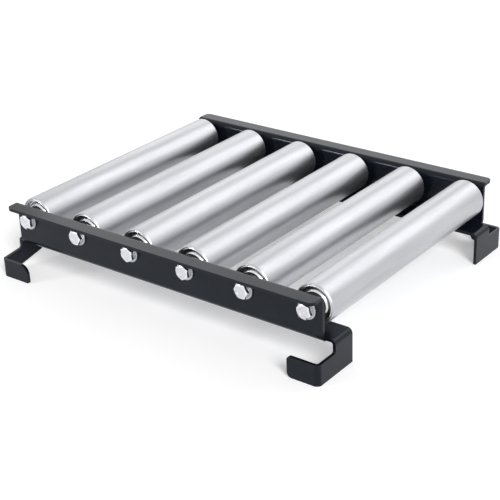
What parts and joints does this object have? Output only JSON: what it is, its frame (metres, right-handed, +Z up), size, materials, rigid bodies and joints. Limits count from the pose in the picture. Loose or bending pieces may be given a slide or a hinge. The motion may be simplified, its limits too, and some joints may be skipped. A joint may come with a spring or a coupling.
{
  "type": "scale roller top",
  "caption": "Gravity roller top for a bench scale: bent side rails with hooked corners that sit over the platform, carrying free-turning steel rollers.",
  "frame": {"origin": "centre of the box, at the height of the lower edges of the corner hooks", "axes": "+X along the side rails, +Y along the rollers towards the back rail, +Z up"},
  "size_m": [0.3736, 0.32, 0.0762],
  "materials": {
    "side_rails": "black satin powder coat",
    "roller_tubes": "satin zinc-plated steel tube",
    "bearing_cups": "zinc-plated pressed steel",
    "bearing_balls": "polished hardened steel",
    "inner_races": "turned steel",
    "dust_seals": "dark grey nylon",
    "axles": "bright drawn steel",
    "washers": "bright zinc-plated steel",
    "bolts": "bright zinc-plated steel"
  },
  "bodies": {
    "frame": {"side_rail_front": "side_rails", "side_rail_back": "side_rails", "roller_1_inner_races": "inner_races", "roller_1_dust_seals": "dust_seals", "roller_1_axle": "axles", "roller_2_inner_races": "inner_races", "roller_2_dust_seals": "dust_seals", "roller_2_axle": "axles", "roller_3_inner_races": "inner_races", "roller_3_dust_seals": "dust_seals", "roller_3_axle": "axles", "roller_4_inner_races": "inner_races", "roller_4_dust_seals": "dust_seals", "roller_4_axle": "axles", "roller_5_inner_races": "inner_races", "roller_5_dust_seals": "dust_seals", "roller_5_axle": "axles", "roller_6_inner_races": "inner_races", "roller_6_dust_seals": "dust_seals", "roller_6_axle": "axles", "flat_washers_front": "washers", "axle_bolts_front": "bolts", "flat_washers_back": "washers", "axle_bolts_back": "bolts"},
    "roller_1": {"roller_1_tube": "roller_tubes", "roller_1_bearing_cups": "bearing_cups"},
    "ball_rows_1": {"roller_1_ball_rows": "bearing_balls"},
    "roller_2": {"roller_2_tube": "roller_tubes", "roller_2_bearing_cups": "bearing_cups"},
    "ball_rows_2": {"roller_2_ball_rows": "bearing_balls"},
    "roller_3": {"roller_3_tube": "roller_tubes", "roller_3_bearing_cups": "bearing_cups"},
    "ball_rows_3": {"roller_3_ball_rows": "bearing_balls"},
    "roller_4": {"roller_4_tube": "roller_tubes", "roller_4_bearing_cups": "bearing_cups"},
    "ball_rows_4": {"roller_4_ball_rows": "bearing_balls"},
    "roller_5": {"roller_5_tube": "roller_tubes", "roller_5_bearing_cups": "bearing_cups"},
    "ball_rows_5": {"roller_5_ball_rows": "bearing_balls"},
    "roller_6": {"roller_6_tube": "roller_tubes", "roller_6_bearing_cups": "bearing_cups"},
    "ball_rows_6": {"roller_6_ball_rows": "bearing_balls"}
  },
  "joints": [
    {"name": "roller_1_spin", "type": "hinge", "parent": "frame", "child": "roller_1", "pos_m": [-0.1625, 0, 0.0572], "axis": [0, 1, 0], "continuous": true},
    {"name": "ball_rows_1_spin", "type": "hinge", "parent": "frame", "child": "ball_rows_1", "pos_m": [-0.1625, 0, 0.0572], "axis": [0, 1, 0], "continuous": true},
    {"name": "roller_2_spin", "type": "hinge", "parent": "frame", "child": "roller_2", "pos_m": [-0.0975, 0, 0.0572], "axis": [0, 1, 0], "continuous": true},
    {"name": "ball_rows_2_spin", "type": "hinge", "parent": "frame", "child": "ball_rows_2", "pos_m": [-0.0975, 0, 0.0572], "axis": [0, 1, 0], "continuous": true},
    {"name": "roller_3_spin", "type": "hinge", "parent": "frame", "child": "roller_3", "pos_m": [-0.0325, 0, 0.0572], "axis": [0, 1, 0], "continuous": true},
    {"name": "ball_rows_3_spin", "type": "hinge", "parent": "frame", "child": "ball_rows_3", "pos_m": [-0.0325, 0, 0.0572], "axis": [0, 1, 0], "continuous": true},
    {"name": "roller_4_spin", "type": "hinge", "parent": "frame", "child": "roller_4", "pos_m": [0.0325, 0, 0.0572], "axis": [0, 1, 0], "continuous": true},
    {"name": "ball_rows_4_spin", "type": "hinge", "parent": "frame", "child": "ball_rows_4", "pos_m": [0.0325, 0, 0.0572], "axis": [0, 1, 0], "continuous": true},
    {"name": "roller_5_spin", "type": "hinge", "parent": "frame", "child": "roller_5", "pos_m": [0.0975, 0, 0.0572], "axis": [0, 1, 0], "continuous": true},
    {"name": "ball_rows_5_spin", "type": "hinge", "parent": "frame", "child": "ball_rows_5", "pos_m": [0.0975, 0, 0.0572], "axis": [0, 1, 0], "continuous": true},
    {"name": "roller_6_spin", "type": "hinge", "parent": "frame", "child": "roller_6", "pos_m": [0.1625, 0, 0.0572], "axis": [0, 1, 0], "continuous": true},
    {"name": "ball_rows_6_spin", "type": "hinge", "parent": "frame", "child": "ball_rows_6", "pos_m": [0.1625, 0, 0.0572], "axis": [0, 1, 0], "continuous": true}
  ],
  "couplings": [
    {"joint": "ball_rows_1_spin", "follows": "roller_1_spin", "ratio": 0.566},
    {"joint": "ball_rows_2_spin", "follows": "roller_2_spin", "ratio": 0.566},
    {"joint": "ball_rows_3_spin", "follows": "roller_3_spin", "ratio": 0.566},
    {"joint": "ball_rows_4_spin", "follows": "roller_4_spin", "ratio": 0.566},
    {"joint": "ball_rows_5_spin", "follows": "roller_5_spin", "ratio": 0.566},
    {"joint": "ball_rows_6_spin", "follows": "roller_6_spin", "ratio": 0.566}
  ]
}
